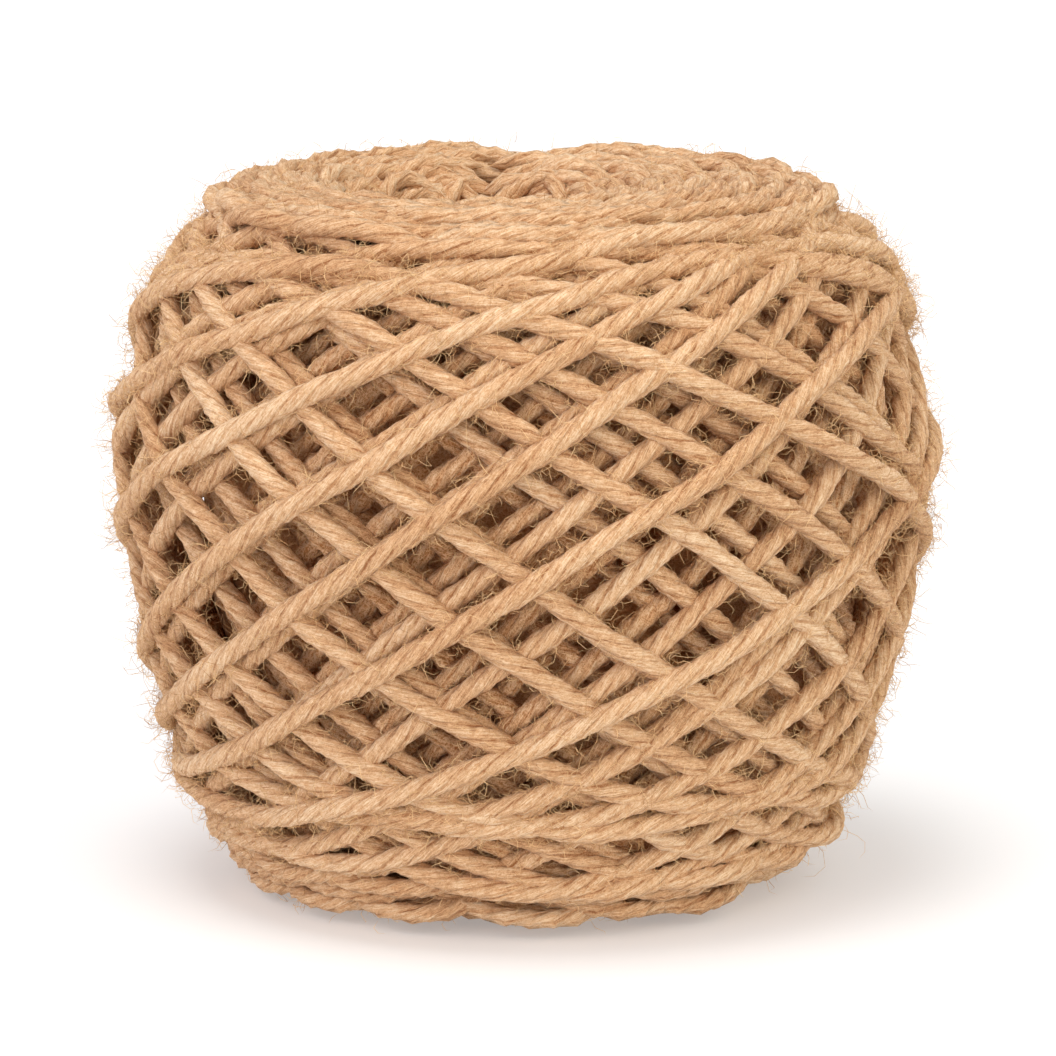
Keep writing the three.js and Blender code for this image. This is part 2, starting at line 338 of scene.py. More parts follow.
class EvenSweep(Sweep):
    """A sweep of evenly precessing turns, deeper in the ball than the traced ones."""

    outermost: float = 43.2
    innermost: float = 11.25
    turning: float = 0.8
    lag_spread: float = 1.6
    reach_spread: float = 0.8
    degree_length: float = 0.6
    wander_in: float = 0.2
    wander_in_wave: float = 15.0
    wander_up: float = 0.3
    wander_up_wave: float = 17.0

    def __init__(self, plan: SweepPlan, rng: np.random.Generator) -> None:
        """Keep the plan and draw each turn's small differences."""
        super().__init__(rng)
        self.plan = plan
        self.turns = plan.turns
        count = int(math.ceil(plan.turns)) + 2
        self.lag = rng.normal(0.0, self.lag_spread, count)
        self.reach = rng.normal(0.0, self.reach_spread, (count, 2))

    def swing(self, unrolled: Array) -> Array:
        """Wave from -1 at the bottom to 1 at the top.

        It is arcsin(sharpness * sine) over arcsin(sharpness): a plain sine when the sharpness
        is small, and straight flanks with tight turning points when it is near 1.

        Args:
            unrolled: azimuths counted on from turn to turn.

        Returns:
            One value for each azimuth.
        """
        turn = unrolled / 360.0 + 0.5
        lag = np.interp(turn, np.arange(len(self.lag)), self.lag)
        crossing = self.plan.crossing + self.plan.advance * turn + lag
        sharp = self.plan.sharpness
        return np.arcsin(sharp * np.sin(np.radians(unrolled - crossing))) / math.asin(sharp)

    def shown(self, unrolled: Array) -> Array:
        """Deep sweeps are drawn only near their turning points, where they show."""
        return np.abs(self.swing(unrolled)) >= self.plan.least_swing

    def line(self, unrolled: Array) -> Array:
        """Points of the centre line.

        The height runs between the two turning points with the sine.  The radius follows the
        outline at the sweep's depth, and closes on the turning point's radius near each end.

        Args:
            unrolled: azimuths counted on from turn to turn.

        Returns:
            One point for each azimuth.
        """
        u = self.swing(unrolled)
        top_radius, top_height = TOP_LINE.at(self.plan.share)
        low_radius, low_height = BOTTOM_LINE.at(self.plan.share)
        turn = unrolled / 360.0 + 0.5
        index = np.arange(len(self.lag))
        height = (top_height + low_height) / 2 + (top_height - low_height) / 2 * u
        kept = (self.plan.radius - self.innermost) / (self.outermost - self.innermost)
        side = self.plan.radius + (self.form.radius(height) - self.form.widest) * kept
        end = np.where(u > 0, top_radius, low_radius) + np.interp(turn, index, self.reach[:, 0])
        share = np.clip((np.abs(u) - self.turning) / (1.0 - self.turning), 0.0, 1.0) ** 2
        along = unrolled * self.degree_length
        wander = self.wander_in * smooth_noise(along, self.wander_in_wave, self.rng)
        radius = side + share * (end - side) + wander
        sink = np.abs(np.interp(turn, index, self.reach[:, 1])) * share
        wander = self.wander_up * smooth_noise(along, self.wander_up_wave, self.rng)
        height = height - np.sign(u) * sink + wander
        return self.form.place(unrolled, np.maximum(radius, self.innermost), height)


@dataclass(frozen=True)
class Winding:
    """Rule for the even sweeps: each lies a little deeper and is staggered against the others."""

    first: int = 2
    last: int = 28
    outer_radius: float = 43.9
    layer: float = 1.13
    turns: float = 9.0
    advance: float = 18.6
    start: float = -108.0
    stagger: float = 0.618
    whole: int = 7
    lining: int = 27
    end_swing: float = 0.84
    lining_share: float = 0.8
    lining_radius: float = 11.25
    lining_layer: float = 0.5
    sharpest: float = 0.94
    falling_lead: float = 7.0
    outer_sharpness: float = 0.3
    added_sharpness: float = 0.6

    def radius(self, number: int) -> float:
        """Widest radius of a sweep: even layers outside, and two that line the hole."""
        if number >= self.lining:
            return self.lining_radius + self.lining_layer * (self.last - number)
        return self.outer_radius - self.layer * number

    def plan(self, number: int) -> SweepPlan:
        """Plan of a sweep by its number.

        Even numbers rise to the right over the front and odd numbers fall.  A pair is shifted
        by the golden part of one advance against the pair before it.

        Args:
            number: the sweep's place, counted inwards from 0.

        Returns:
            Its plan.
        """
        pair = (number - self.first) // 2
        shift = self.advance * ((pair * self.stagger) % 1.0)
        half_round = 180.0 * (number % 2)
        shown_whole = number <= self.whole or number >= self.lining
        depth = number / self.last
        sharpness = self.outer_sharpness + self.added_sharpness * depth
        return SweepPlan(
            share=self.lining_share if number >= self.lining else depth,
            radius=self.radius(number),
            turns=self.turns,
            crossing=self.start + half_round + shift + self.falling_lead * (number % 2),
            advance=self.advance,
            least_swing=0.0 if shown_whole else self.end_swing,
            sharpness=self.sharpest if number >= self.lining else sharpness,
        )


OUTER_ROWS = (
    Turn(-123.0, 23.0, 48.0),
    Turn(-71.0, 16.2, 56.8),
    Turn(-54.4, 21.8, 49.9),
    Turn(-36.8, 27.3, 44.9),
    Turn(-17.1, 28.8, 44.1),
    Turn(-1.7, 26.5, 38.7),
    Turn(24.7, 19.5, 30.3),
    Turn(52.0, 28.0, 41.0),
)
UNDER_ROWS = (
    Turn(62.0, 28.0, 41.0),
    Turn(84.0, 28.0, 41.0),
    Turn(105.2, 28.4, 40.7),
    Turn(130.0, 29.5, 43.5),
    Turn(160.0, 30.0, 41.0),
    Turn(178.0, 30.5, 41.5),
    Turn(212.0, 31.0, 39.5),
    Turn(225.0, 28.5, 43.0),
    Turn(262.0, 30.0, 41.0),
)


# Strands


@dataclass(frozen=True)
class Yarn:
    """The plied strand: its half width, plies, the length of one twist and its softness."""

    half_width: float = 1.2
    plies: int = 4
    lay: float = 15.5
    groove: float = 0.16
    flatten: float = 0.95
    widen: float = 1.04


@dataclass
class Sheaf:
    """Points, faces and values of strands or fibres that make one piece."""

    points: list[Array] = field(default_factory=list)
    quads: list[Array] = field(default_factory=list)
    triangles: list[Array] = field(default_factory=list)
    grain: list[Array] = field(default_factory=list)
    tone: list[Array] = field(default_factory=list)
    count: int = 0

    def add(self, points: Array, quads: Array, triangles: Array, grain: Array, tone: Array) -> None:
        """Add one closed shape, its faces numbered from its own first point."""
        self.points.append(points)
        self.quads.append(quads + self.count)
        self.triangles.append(triangles + self.count)
        self.grain.append(grain)
        self.tone.append(tone)
        self.count += len(points)

    def build(self, name: str, material: bpy.types.Material) -> bpy.types.Object:
        """Write the sheaf as one smooth mesh object with its grain and tone values.

        Args:
            name: the piece's name.
            material: its finish.

        Returns:
            The new object, linked to the scene.
        """
        points = np.concatenate(self.points).astype(np.float32) * MM
        quads = np.concatenate(self.quads)
        triangles = np.concatenate(self.triangles)
        mesh = bpy.data.meshes.new(name)
        mesh.vertices.add(len(points))
        mesh.vertices.foreach_set("co", points.ravel())
        corners = np.concatenate([quads.ravel(), triangles.ravel()]).astype(np.int32)
        mesh.loops.add(len(corners))
        mesh.loops.foreach_set("vertex_index", corners)
        starts = np.concatenate([np.arange(len(quads)) * 4, len(quads) * 4 + np.arange(len(triangles)) * 3])
        mesh.polygons.add(len(starts))
        mesh.polygons.foreach_set("loop_start", starts.astype(np.int32))
        mesh.polygons.foreach_set("use_smooth", np.ones(len(starts), dtype=bool))
        mesh.update(calc_edges=True)
        grain = mesh.attributes.new("grain", "FLOAT_VECTOR", "POINT")
        grain.data.foreach_set("vector", np.concatenate(self.grain).astype(np.float32).ravel())
        tone = mesh.attributes.new("tone", "FLOAT", "POINT")
        tone.data.foreach_set("value", np.concatenate(self.tone).astype(np.float32))
        # depth inside the outline, by which wool_material paints shade and a warm glow deep between the
        # strands
        buried = mesh.attributes.new("buried", "FLOAT", "POINT")
        buried.data.foreach_set("value", Form().buried(points / MM).astype(np.float32))
        mesh.materials.append(material)
        piece = bpy.data.objects.new(name, mesh)
        bpy.context.scene.collection.objects.link(piece)
        LOG.info("%s: %d points, %d triangles", name, len(points), 2 * len(quads) + len(triangles))
        return piece


WALL_MIDDLE_X = -2.5
WALL_MIDDLE_HEIGHTS = (22.0, 56.0)


@dataclass(frozen=True)
class Course:
    """A strand's centre line with its frame and the distance along it."""

    centre: Array
    tangent: Array
    outward: Array
    across: Array
    along: Array

    @classmethod
    def of(cls, centre: Array) -> "Course":
        """Frame a centre line: outward is away from the middle of the ball's wall.

        Args:
            centre: points of the line, evenly spaced.

        Returns:
            The course.
        """
        tangent = unit(np.gradient(centre, axis=0))
        axis = np.zeros_like(centre)
        axis[:, 0] = WALL_MIDDLE_X
        axis[:, 2] = np.clip(centre[:, 2], *WALL_MIDDLE_HEIGHTS)
        across = unit(np.cross(centre - axis, tangent))
        outward = np.cross(tangent, across)
        gaps = np.linalg.norm(np.diff(centre, axis=0), axis=1)
        along = np.concatenate([[0.0], np.cumsum(gaps)])
        return cls(centre, tangent, outward, across, along)


class Strand:
    """A closed plied tube along a course."""

    floor: float = 0.03
    uneven: float = 0.07
    uneven_wave: float = 7.0
    shade_wave: float = 30.0
    shade_share: float = 0.25
    rough: float = 0.02
    grain_jump: float = 50.0

    def __init__(self, course: Course, yarn: Yarn, sides: int, rng: np.random.Generator) -> None:
        """Keep the course, the yarn and the number of points round it."""
        self.course = course
        self.yarn = yarn
        self.sides = sides
        self.start = rng.uniform(0, 2 * math.pi)
        self.width = yarn.half_width * (1.0 + self.uneven * smooth_noise(course.along, self.uneven_wave, rng))
        self.shade = smooth_noise(course.along, self.shade_wave, rng)
        self.rng = rng

    def add_to(self, sheaf: Sheaf) -> None:
        """Add the tube to a sheaf.

        Each ring is a circle with a soft groove between neighbouring plies: its radius is the
        half width times 1 - groove * (1 - |cos(plies / 2 * angle)|).  The ring turns once in
        a lay, so its own points run along the plies.

        Args:
            sheaf: the piece it joins.
        """
        course, yarn = self.course, self.yarn
        rings = len(course.centre)
        own = 2 * math.pi * np.arange(self.sides) / self.sides
        ridge = np.abs(np.cos(yarn.plies / 2 * own))
        section = 1.0 - yarn.groove * (1.0 - ridge)
        angle = own[None, :] + 2 * math.pi * course.along[:, None] / yarn.lay + self.start
        taper = np.minimum(np.arange(rings), np.arange(rings)[::-1])
        taper = np.sqrt(np.clip(taper / 2.0, 0.0, 1.0)) * 0.999 + 0.001
        roughness = 1.0 + self.rng.normal(0.0, self.rough, (rings, self.sides))
        radius = self.width[:, None] * section[None, :] * taper[:, None] * roughness
        reach_out = radius * np.cos(angle) * yarn.flatten
        reach_across = radius * np.sin(angle) * yarn.widen
        points = (
            course.centre[:, None, :]
            + reach_out[..., None] * course.outward[:, None, :]
            + reach_across[..., None] * course.across[:, None, :]
        )
        points[..., 2] = np.maximum(points[..., 2], self.floor)
        points = points.reshape(-1, 3)
        index = np.arange(rings * self.sides).reshape(rings, self.sides)
        beside = np.roll(index, -1, axis=1)
        quads = np.stack([index[:-1], index[1:], beside[1:], beside[:-1]], axis=-1).reshape(-1, 4)
        fan = np.arange(1, self.sides - 1)
        first = np.stack([np.zeros_like(fan), fan, fan + 1], axis=-1)
        last = index[-1, 0] + np.stack([np.zeros_like(fan), fan + 1, fan], axis=-1)
        grain = np.stack(
            np.broadcast_arrays(
                yarn.half_width * np.cos(own)[None, :],
                yarn.half_width * np.sin(own)[None, :],
                course.along[:, None] + self.start * self.grain_jump,
            ),
            axis=-1,
        ).reshape(-1, 3)
        tone = 0.5 + self.shade_share * self.shade[:, None]
        tone = np.broadcast_to(tone, (rings, self.sides)).reshape(-1)
        sheaf.add(points, quads, np.concatenate([first, last]), grain, tone)


@dataclass(frozen=True)
class FibreKind:
    """Length, stand-off, bend and half width of one kind of stray fibre, and the points along it."""

    length: tuple[float, float]
    proud: tuple[float, float]
    bend: tuple[float, float]
    half_width: float
    knots: int


DOWN = FibreKind(length=(1.0, 2.4), proud=(0.2, 0.9), bend=(0.6, 1.6), half_width=0.03, knots=3)
HAIR = FibreKind(length=(2.0, 5.0), proud=(0.4, 1.8), bend=(1.6, 3.6), half_width=0.033, knots=4)
LOOP = FibreKind(length=(3.0, 8.0), proud=(0.2, 1.0), bend=(2.0, 5.4), half_width=0.03, knots=6)


class Fibres:
    """Stray fibres: thin closed spindles that leave a strand, curl and come back.

    A merino fibre is about 0.02 mm thick.  They are drawn at about three times that, which is
    a little over half a pixel of the photograph, because thinner ones would not show.
    """

    sides: int = 3
    to_side: float = 1.3
    root: float = 0.95
    inward: float = 0.3
    side_spread: float = 0.6
    slide: float = 0.7
    lead_spread: float = 0.5
    bend_spread: float = 0.8
    sway: float = 0.07
    sway_turns: tuple[float, float] = (4.0, 9.0)
    tip_width: float = 0.7
    floor: float = 0.1

    def __init__(self, courses: Sequence[Course], yarn: Yarn, rng: np.random.Generator) -> None:
        """Keep the strands that the fibres grow from."""
        self.courses = courses
        self.yarn = yarn
        self.rng = rng

    def add_to(self, sheaf: Sheaf, kind: FibreKind, count: int) -> None:
        """Add fibres to a sheaf.

        A fibre is an arc: base + length / bend * (sin(bend t) * lead + (1 - cos(bend t)) * side),
        with a small wave across it.  Its rings have three points and its ends are tips.

        Args:
            sheaf: the piece they join.
            kind: their length and bend.
            count: how many are added.
        """
        rng = self.rng
        rings = rng.integers(0, sum(len(course.centre) for course in self.courses), count)
        centre, tangent, outward, across = (
            np.concatenate([getattr(course, key) for course in self.courses])[rings]
            for key in ("centre", "tangent", "outward", "across")
        )
        angle = rng.choice([-1.0, 1.0], count) * rng.normal(self.to_side, self.side_spread, count)
        normal = np.cos(angle)[:, None] * outward + np.sin(angle)[:, None] * across
        slide = tangent * rng.uniform(-self.slide, self.slide, (count, 1))
        base = centre + normal * self.yarn.half_width * self.root + slide
        sense = rng.choice([-1.0, 1.0], count)[:, None]
        proud = rng.uniform(*kind.proud, count)[:, None]
        lead = unit(sense * tangent + proud * normal + rng.normal(0.0, self.lead_spread, (count, 3)))
        side = rng.normal(0.0, self.bend_spread, (count, 3)) - self.inward * normal
        side = unit(side - lead * np.sum(side * lead, axis=1, keepdims=True))
        third = np.cross(lead, side)
        length = rng.uniform(*kind.length, count) * rng.uniform(0.6, 1.0, count)
        b = rng.uniform(*kind.bend, count)[:, None, None]
        t = np.linspace(0.0, 1.0, kind.knots)[None, :, None]
        arc = length[:, None, None] / b
        sway = self.sway * length[:, None, None] * np.sin(t * rng.uniform(*self.sway_turns, (count, 1, 1)))
        spine = (
            base[:, None, :]
            + arc * (np.sin(b * t) * lead[:, None, :] + (1 - np.cos(b * t)) * side[:, None, :])
            + sway * third[:, None, :]
        )
        spine[..., 2] = np.maximum(spine[..., 2], self.floor)
        one = -np.sin(b * t) * lead[:, None, :] + np.cos(b * t) * side[:, None, :]
        two = np.broadcast_to(third[:, None, :], one.shape)
        around = 2 * math.pi * np.arange(self.sides) / self.sides
        width = kind.half_width * np.linspace(1.0, self.tip_width, kind.knots - 2)[None, :, None, None]
        rings = spine[:, 1:-1, None, :] + width * (
            np.cos(around)[None, None, :, None] * one[:, 1:-1, None, :]
            + np.sin(around)[None, None, :, None] * two[:, 1:-1, None, :]
        )
        points = np.concatenate([spine[:, :1], rings.reshape(count, -1, 3), spine[:, -1:]], axis=1)
        per = points.shape[1]
        quads, triangles = self.faces(kind.knots)
        offset = (np.arange(count) * per)[:, None, None]
        shade = np.repeat(rng.uniform(0.0, 1.0, count), per)
        sheaf.add(
            points.reshape(-1, 3),
            (quads[None] + offset).reshape(-1, 4),
            (triangles[None] + offset).reshape(-1, 3),
            np.repeat(base, per, axis=0),
            shade,
        )

    def faces(self, knots: int) -> tuple[Array, Array]:
        """Faces of one fibre, numbered from its first tip.

        Args:
            knots: points along it, both tips counted.

        Returns:
            Its four-sided and its three-sided faces.
        """
        rings = 1 + np.arange((knots - 2) * self.sides).reshape(-1, self.sides)
        beside = np.roll(rings, -1, axis=1)
        quads = np.stack([rings[:-1], beside[:-1], beside[1:], rings[1:]], axis=-1).reshape(-1, 4)
        first = np.stack([np.zeros(self.sides, dtype=int), beside[0], rings[0]], axis=-1)
        tip = np.full(self.sides, rings[-1, -1] + 1)
        last = np.stack([tip, rings[-1], beside[-1]], axis=-1)
        return quads, np.concatenate([first, last])


# Finishes


@dataclass(frozen=True)
class WoolFinish:
    """Soft plied wool: fibre streaks and painted shade in the ply grooves over a slow change of colour.

    The glow is a painted glow: deep between the strands the colour is mixed towards the warmer
    colour that light takes where it has passed through wool several times.
    """

    shadow: str = "#95603A"
    body: str = "#D3A67B"
    light: str = "#F2D7B4"
    # painted glow: mixed into the colour deep between the strands in place of light passed through the wool
    glow: str = "#E09A58"
    painted_glow_share: float = 0.6
    plies: int = 4
    groove_power: float = 8.0
    # painted shade: how much darker the colour is drawn in the ply grooves
    groove_painted_shade: float = 0.22
    groove_relief: float = -1.6
    wander_scale: float = 0.6
    wander_angle: float = 0.6
    start_level: float = -0.08
    tone_share: float = 0.25
    streak_share: float = 1.02
    patch_share: float = 0.2
    # painted shade: deep parts of the ball are drawn darker by this share
    painted_shade_share: float = -0.36
    tangle_share: float = 0.15
    tangle_buried: float = 0.7
    tangle_relief: float = 0.3
    stops: tuple[float, float, float] = (0.35, 0.68, 0.98)
    streak_scale: float = 7.0
    streak_squeeze: float = 0.11
    tangle_scale: float = 2.0
    tangle_width: float = 0.08
    patch_scale: float = 60.0
    bump_mm: float = 0.08
    bump_strength: float = 0.9
    roughness: float = 0.95
    specular: float = 0.15
    sheen: float = 0.2
    sheen_roughness: float = 0.5
    sheen_tint: str = "#FFE9CF"


@dataclass(frozen=True)
class FibreFinish:
    """Single merino fibres: golden where they lie in shade, pale where they catch the light."""

    dark: str = "#B07C48"
    light: str = "#F2CE9A"
    roughness: float = 0.8
    crimp_scale: float = 900.0
    crimp_share: float = 0.3


MATH = "ShaderNodeMath"
NOISE = "ShaderNodeTexNoise"


def add_node(tree: bpy.types.NodeTree, kind: str, settings: dict, links: dict) -> bpy.types.Node:
    """Add a shader node with its settings and links.

    Args:
        tree: the node tree.
        kind: the node's type name.
        settings: attributes by name, and input values by socket name or number.
        links: what feeds an input, by its name or number: a socket, or a node's first output.

    Returns:
        The new node.
    """
    node = tree.nodes.new(kind)
    for key, value in settings.items():
        if isinstance(key, str) and hasattr(node, key):
            setattr(node, key, value)
        else:
            node.inputs[key].default_value = value
    for key, source in links.items():
        socket = source.outputs[0] if isinstance(source, bpy.types.Node) else source
        tree.links.new(socket, node.inputs[key])
    return node


def ramp(node: bpy.types.Node, stops: Sequence[tuple[float, tuple[float, ...]]]) -> None:
    """Set the stops of a colour ramp.

    Args:
        node: the ramp's node.
        stops: position and linear colour of each stop.
    """
    elements = node.color_ramp.elements
    while len(elements) < len(stops):
        elements.new(0.5)
    for element, (position, colour) in zip(elements, stops):
        element.position = position
        element.color = colour


def new_tree(name: str) -> tuple[bpy.types.Material, bpy.types.NodeTree]:
    """Make a material with an empty node tree.

    Args:
        name: the material's name.

    Returns:
        The material and its tree.
    """
    material = bpy.data.materials.new(name)
    material.use_nodes = True
    material.node_tree.nodes.clear()
    return material, material.node_tree


def tangle_lines(
    tree: bpy.types.NodeTree, position: bpy.types.NodeSocket, scale: float, width: float
) -> bpy.types.Node:
    """Thin curly lines like fibres lying crosswise: where a noise passes its middle value.

    Args:
        tree: the node tree.
        position: the coordinates that the lines lie in.
        scale: how many curls there are in a unit length.
        width: half width of the lines in the noise's own value.

    Returns:
        A node whose value is 1 on a line and 0 beside it.
    """
    noise = add_node(tree, NOISE, {"Scale": scale, "Detail": 1.5, "Distortion": 0.8}, {"Vector": position})
    centred = add_node(tree, MATH, {"operation": "SUBTRACT", 1: 0.5}, {0: noise})
    off_line = add_node(tree, MATH, {"operation": "ABSOLUTE"}, {0: centred})
    line = add_node(tree, MATH, {"operation": "MULTIPLY_ADD", 1: -1.0 / width, 2: 1.0}, {0: off_line})
    return add_node(tree, MATH, {"operation": "MAXIMUM", 1: 0.0}, {0: line})


def wool_material(name: str, finish: WoolFinish) -> bpy.types.Material:
    """Spun and plied merino wool.

    To the eye it is matt, soft and warm: fine pale fibres run along each ply, the grooves
    between the plies carry thin lines of painted shade, parts deep between the strands are
    painted darker and warmer, and grazing light catches the fuzz.

    Args:
        name: the material's name.
        finish: its colours and sizes.

    Returns:
        The material.
    """
    material, tree = new_tree(name)
    grain = add_node(tree, "ShaderNodeAttribute", {"attribute_name": "grain"}, {}).outputs["Vector"]
    tone = add_node(tree, "ShaderNodeAttribute", {"attribute_name": "tone"}, {}).outputs["Fac"]
    buried = add_node(tree, "ShaderNodeAttribute", {"attribute_name": "buried"}, {}).outputs["Fac"]
    place = add_node(tree, "ShaderNodeTexCoord", {}, {}).outputs["Object"]
    wander = add_node(tree, NOISE, {"Scale": finish.wander_scale, "Detail": 2.0}, {"Vector": grain})
    split = add_node(tree, "ShaderNodeSeparateXYZ", {}, {"Vector": grain})
    angle = add_node(tree, MATH, {"operation": "ARCTAN2"}, {0: split.outputs["Y"], 1: split.outputs["X"]})
    angle = add_node(tree, MATH, {"operation": "MULTIPLY_ADD", 1: finish.wander_angle}, {0: wander, 2: angle})
    turned = add_node(tree, MATH, {"operation": "MULTIPLY", 1: float(finish.plies)}, {0: angle})
    wave = add_node(tree, MATH, {"operation": "COSINE"}, {0: turned})
    groove = add_node(tree, MATH, {"operation": "MULTIPLY_ADD", 1: -0.5, 2: 0.5}, {0: wave})
    groove = add_node(tree, MATH, {"operation": "POWER", 1: finish.groove_power}, {0: groove})
    # painted shade along the ply grooves, broken up by the wander noise
    painted_groove_shade = add_node(tree, MATH, {"operation": "MULTIPLY_ADD", 1: 2.6, 2: -0.6}, {0: wander})
    painted_groove_shade = add_node(tree, MATH, {"operation": "MAXIMUM", 1: 0.0}, {0: painted_groove_shade})
    painted_groove_shade = add_node(tree, MATH, {"operation": "MULTIPLY"}, {0: groove, 1: painted_groove_shade})
    squeeze = (1.0, 1.0, finish.streak_squeeze)
    stretched = add_node(tree, "ShaderNodeMapping", {"Scale": squeeze}, {"Vector": grain})
    streaks = add_node(
        tree,
        NOISE,
        {"Scale": finish.streak_scale, "Detail": 3.0, "Roughness": 0.6, "Distortion": 0.6},
        {"Vector": stretched},
    )
    along = tangle_lines(tree, grain, finish.tangle_scale, finish.tangle_width)
    astray = tangle_lines(tree, place, finish.tangle_scale / MM, finish.tangle_width)
    tangle = add_node(tree, MATH, {"operation": "MAXIMUM"}, {0: along, 1: astray})
    patches = add_node(tree, NOISE, {"Scale": finish.patch_scale, "Detail": 2.0}, {"Vector": place})
    settings = {"operation": "MULTIPLY_ADD", 1: finish.tone_share, 2: finish.start_level}
    level = add_node(tree, MATH, settings, {0: tone})
    # the buried share darkens deep parts: painted shade between the strands
    shares = ((streaks, finish.streak_share), (patches, finish.patch_share), (buried, finish.painted_shade_share))
    for source, share in shares:
        level = add_node(tree, MATH, {"operation": "MULTIPLY_ADD", 1: share}, {0: source, 2: level})
    settings = {"operation": "MULTIPLY_ADD", 1: finish.tangle_buried, 2: finish.tangle_share}
    shown = add_node(tree, MATH, settings, {0: buried})
    level = add_node(tree, MATH, {"operation": "MULTIPLY_ADD"}, {0: tangle, 1: shown, 2: level})
    # painted shade: the colour level drops in the ply grooves
    settings = {"operation": "MULTIPLY_ADD", 1: -finish.groove_painted_shade}
    level = add_node(tree, MATH, settings, {0: painted_groove_shade, 2: level})
    colour = add_node(tree, "ShaderNodeValToRGB", {}, {"Fac": level})
    shades = [linear(shade) for shade in (finish.shadow, finish.body, finish.light)]
    ramp(colour, list(zip(finish.stops, shades)))
    # painted glow: deep parts are mixed towards the warm glow colour
    painted_glow_amount = add_node(tree, MATH, {"operation": "MULTIPLY", 1: finish.painted_glow_share}, {0: buried})
    settings = {"data_type": "RGBA", 7: linear(finish.glow)}
    painted_glow_colour = add_node(tree, "ShaderNodeMix", settings, {0: painted_glow_amount, 6: colour})
    settings = {"operation": "MULTIPLY_ADD", 1: finish.groove_relief}
    relief = add_node(tree, MATH, settings, {0: groove, 2: streaks})
    settings = {"operation": "MULTIPLY_ADD", 1: finish.tangle_relief}
    relief = add_node(tree, MATH, settings, {0: tangle, 2: relief})
    settings = {"Strength": finish.bump_strength, "Distance": finish.bump_mm * MM}
    bump = add_node(tree, "ShaderNodeBump", settings, {"Height": relief})
    shader = add_node(
        tree,
        "ShaderNodeBsdfPrincipled",
        {
            "Roughness": finish.roughness,
            "Specular IOR Level": finish.specular,
            "Sheen Weight": finish.sheen,
            "Sheen Roughness": finish.sheen_roughness,
            "Sheen Tint": linear(finish.sheen_tint),
        },
        {"Base Color": painted_glow_colour.outputs[2], "Normal": bump},
    )
    add_node(tree, "ShaderNodeOutputMaterial", {}, {"Surface": shader})
    return material


def fibre_material(name: str, finish: FibreFinish) -> bpy.types.Material:
    """Stray merino fibres: paler than the strand, each with its own tone.

    Args:
        name: the material's name.
        finish: its colours.

    Returns:
        The material.
    """
    material, tree = new_tree(name)
    tone = add_node(tree, "ShaderNodeAttribute", {"attribute_name": "tone"}, {}).outputs["Fac"]
    place = add_node(tree, "ShaderNodeTexCoord", {}, {}).outputs["Object"]
    crimp = add_node(tree, NOISE, {"Scale": finish.crimp_scale, "Detail": 1.0}, {"Vector": place})
    level = add_node(tree, MATH, {"operation": "MULTIPLY_ADD", 1: finish.crimp_share}, {0: crimp, 2: tone})
    colour = add_node(tree, "ShaderNodeValToRGB", {}, {"Fac": level})
    ramp(colour, [(0.1, linear(finish.dark)), (0.9, linear(finish.light))])
    settings = {"Roughness": finish.roughness}
    shader = add_node(tree, "ShaderNodeBsdfPrincipled", settings, {"Base Color": colour})
    add_node(tree, "ShaderNodeOutputMaterial", {}, {"Surface": shader})
    return material


def floor_material(name: str, colour: str, glow: float) -> bpy.types.Material:
    """Matt white studio paper, lit through from below so that shadows on it stay pale.

    Args:
        name: the material's name.
        colour: the paper's colour.
        glow: strength of its own white light.

    Returns:
        The material.
    """
    material = bpy.data.materials.new(name)
    material.use_nodes = True
    shader = material.node_tree.nodes["Principled BSDF"]
    shader.inputs["Base Color"].default_value = linear(colour)
    shader.inputs["Roughness"].default_value = 1.0
    shader.inputs["Specular IOR Level"].default_value = 0.0
    shader.inputs["Emission Color"].default_value = (1.0, 1.0, 1.0, 1.0)
    shader.inputs["Emission Strength"].default_value = glow
    return material


# The ball


class Reach(Enum):
    """Which of the ball's pieces a sweep belongs to."""

    OUTER = "yarn_outer_turns"
    SECOND = "yarn_second_turns"
    THIRD = "yarn_third_turns"
    FOURTH = "yarn_fourth_turns"
    ENDS = "yarn_end_turns"
    LINING = "yarn_hole_lining"

    @classmethod
    def of(cls, number: int) -> "Reach":
        """The piece that a sweep joins.

        Args:
            number: the sweep's place, counted inwards from 0.

        Returns:
            The piece.
        """
        pairs = (cls.OUTER, cls.SECOND, cls.THIRD, cls.FOURTH)
        if number <= Winding.whole:
            return pairs[number // 2]
        return cls.ENDS if number < Winding.lining else cls.LINING


@dataclass(frozen=True)
class Detail:
    """How finely a sweep's strands are drawn."""

    sides: int
    step: float


DETAILS = {
    Reach.OUTER: Detail(12, 1.4),
    Reach.SECOND: Detail(12, 1.7),
    Reach.THIRD: Detail(8, 2.0),
    Reach.FOURTH: Detail(8, 2.4),
    Reach.ENDS: Detail(8, 1.8),
    Reach.LINING: Detail(8, 1.8),
}


